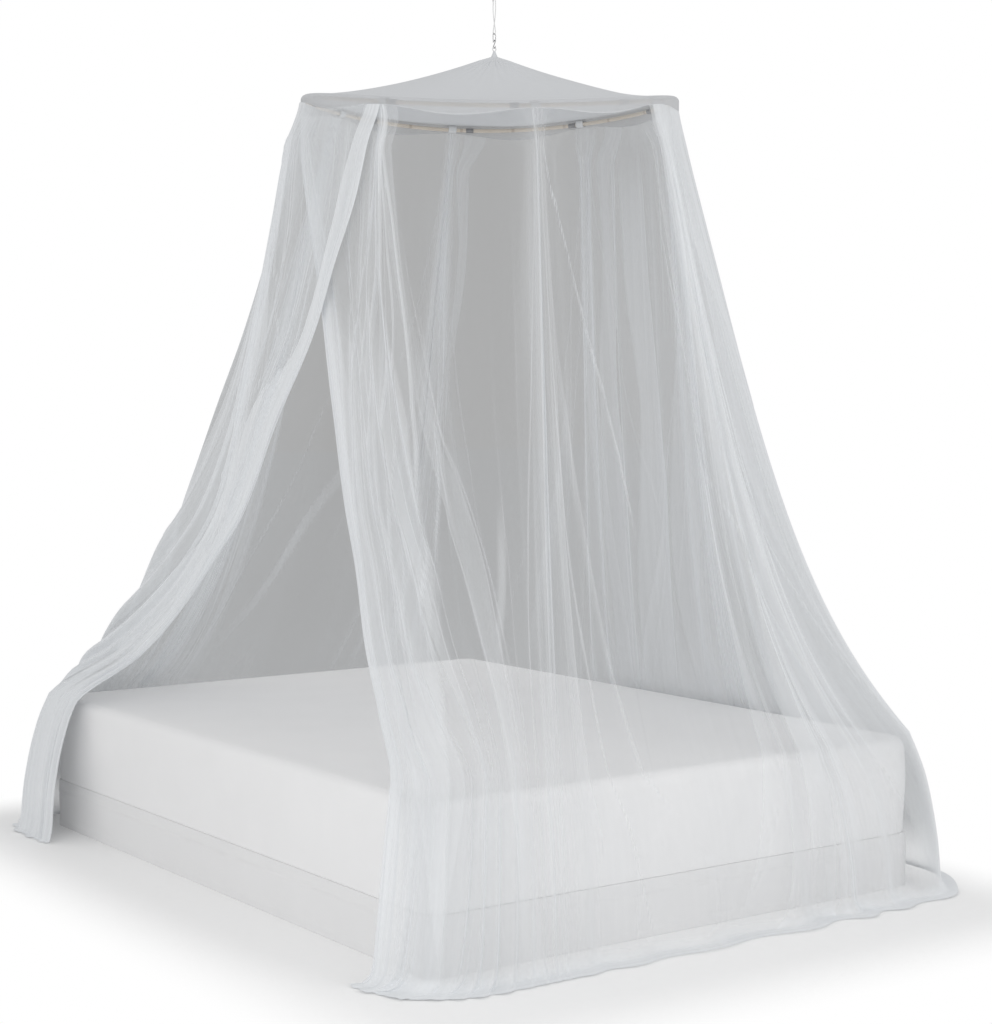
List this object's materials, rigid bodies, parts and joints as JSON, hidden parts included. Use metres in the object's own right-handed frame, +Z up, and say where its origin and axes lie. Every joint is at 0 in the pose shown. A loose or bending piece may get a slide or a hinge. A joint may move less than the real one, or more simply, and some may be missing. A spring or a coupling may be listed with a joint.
{
  "type": "mosquito net canopy and bed",
  "caption": "Round-topped white mosquito net on a bamboo hoop, hung from the ceiling by a cord, falling over a low double bed to the floor, open at one side.",
  "frame": {"origin": "on the floor under the middle of the bed's base, at the mount floor_face", "axes": "+Z up, +Y towards the bed's head, -X towards the side where the net is open"},
  "size_m": [1.8711, 2.3895, 2.44],
  "materials": {
    "net_cloth": "sheer fine white mesh, soft and matte",
    "tape": "plain woven white tape",
    "bamboo": "pale split bamboo, satin",
    "steel": "plain wire and tube, satin",
    "cord": "thin white twisted cord",
    "bed_cloth": "plain white cotton"
  },
  "bodies": {
    "root": {"net_roof": "net_cloth", "net_left_door_width": "net_cloth", "net_head_width": "net_cloth", "net_far_width": "net_cloth", "net_foot_width": "net_cloth", "net_right_door_width": "net_cloth", "hoop_tab_1": "tape", "hoop_tab_2": "tape", "hoop_tab_3": "tape", "hoop_tab_4": "tape", "hoop_tab_5": "tape", "hoop_tab_6": "tape", "hoop_tab_7": "tape", "hoop_tab_8": "tape", "hoop_rod_01": "bamboo", "hoop_rod_02": "bamboo", "hoop_rod_03": "bamboo", "hoop_rod_04": "bamboo", "hoop_rod_05": "bamboo", "hoop_rod_06": "bamboo", "hoop_rod_07": "bamboo", "hoop_rod_08": "bamboo", "hoop_rod_09": "bamboo", "hoop_rod_10": "bamboo", "hoop_ferrule_01": "steel", "hoop_ferrule_02": "steel", "hoop_ferrule_03": "steel", "hoop_ferrule_04": "steel", "hoop_ferrule_05": "steel", "hoop_ferrule_06": "steel", "hoop_ferrule_07": "steel", "hoop_ferrule_08": "steel", "hoop_ferrule_09": "steel", "hoop_ferrule_10": "steel", "crown_binding": "tape", "hanging_hook": "steel", "hanging_ring": "steel", "hanging_cord": "cord", "cord_knot": "cord", "ceiling_hook": "steel", "ceiling_plate": "steel", "bed_mattress": "bed_cloth", "bed_base": "bed_cloth"}
  },
  "joints": []
}
